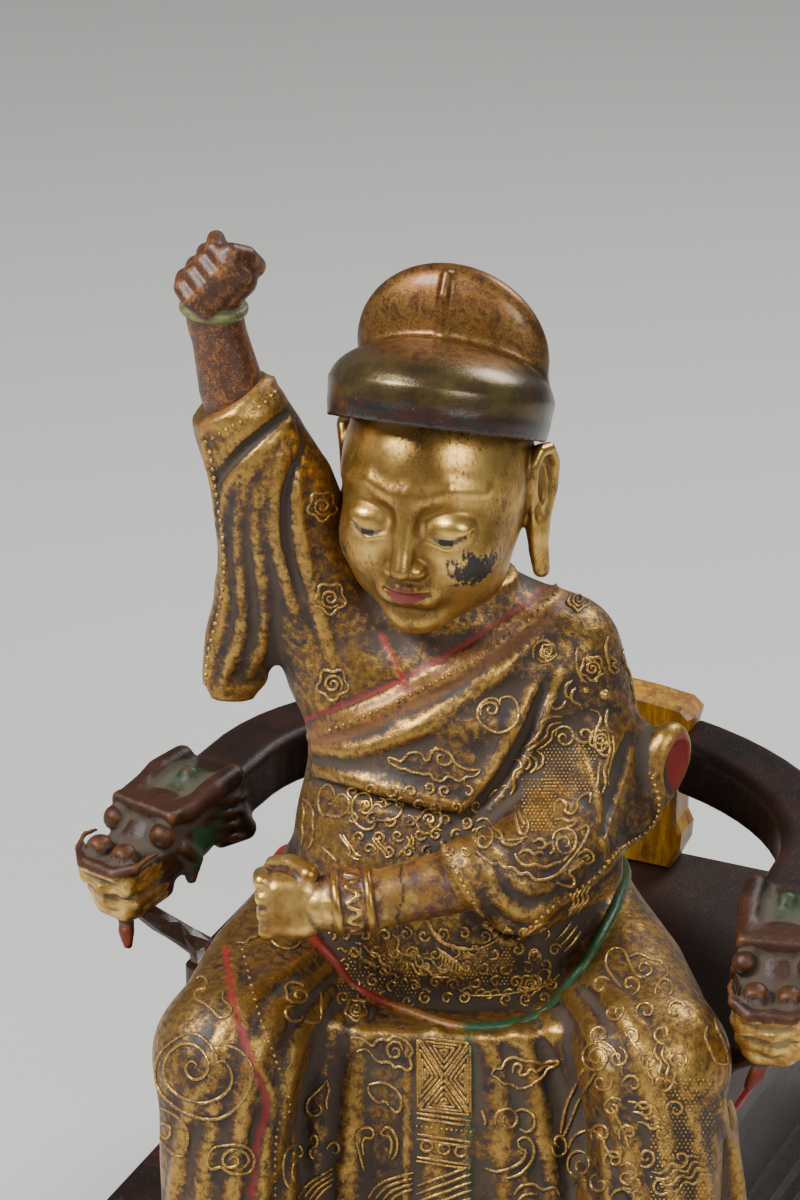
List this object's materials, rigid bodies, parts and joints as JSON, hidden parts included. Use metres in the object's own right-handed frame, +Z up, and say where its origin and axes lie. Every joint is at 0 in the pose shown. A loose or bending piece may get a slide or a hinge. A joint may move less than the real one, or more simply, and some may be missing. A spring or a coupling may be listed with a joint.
{
  "type": "carved guardian figure in an armchair",
  "caption": "Gilt lacquered wooden guardian figure, seated with one fist raised, in a horseshoe armchair with dragon-head arm ends, on a low plinth",
  "frame": {"origin": "middle of the plinth's underside, on the surface that it stands on", "axes": "+Z up, the chair faces -Y, +X is the left hand of someone sitting in the chair"},
  "size_m": [0.2438, 0.2584, 0.3596],
  "materials": {
    "gilt_lacquer": "worn gold leaf over brown lacquer with raised lacquer threads",
    "brown_lacquer": "glossy red-brown lacquer, gilt on the carved heads",
    "yellow_lacquer": "glossy golden yellow lacquer",
    "dark_lacquer": "dark brown lacquer"
  },
  "bodies": {
    "root": {"figure": "gilt_lacquer", "rail_left": "brown_lacquer", "rail_right": "brown_lacquer", "arm_post_left": "brown_lacquer", "arm_post_right": "brown_lacquer", "back_splat": "yellow_lacquer", "seat": "brown_lacquer", "seat_box": "dark_lacquer", "plinth": "dark_lacquer"}
  },
  "joints": []
}
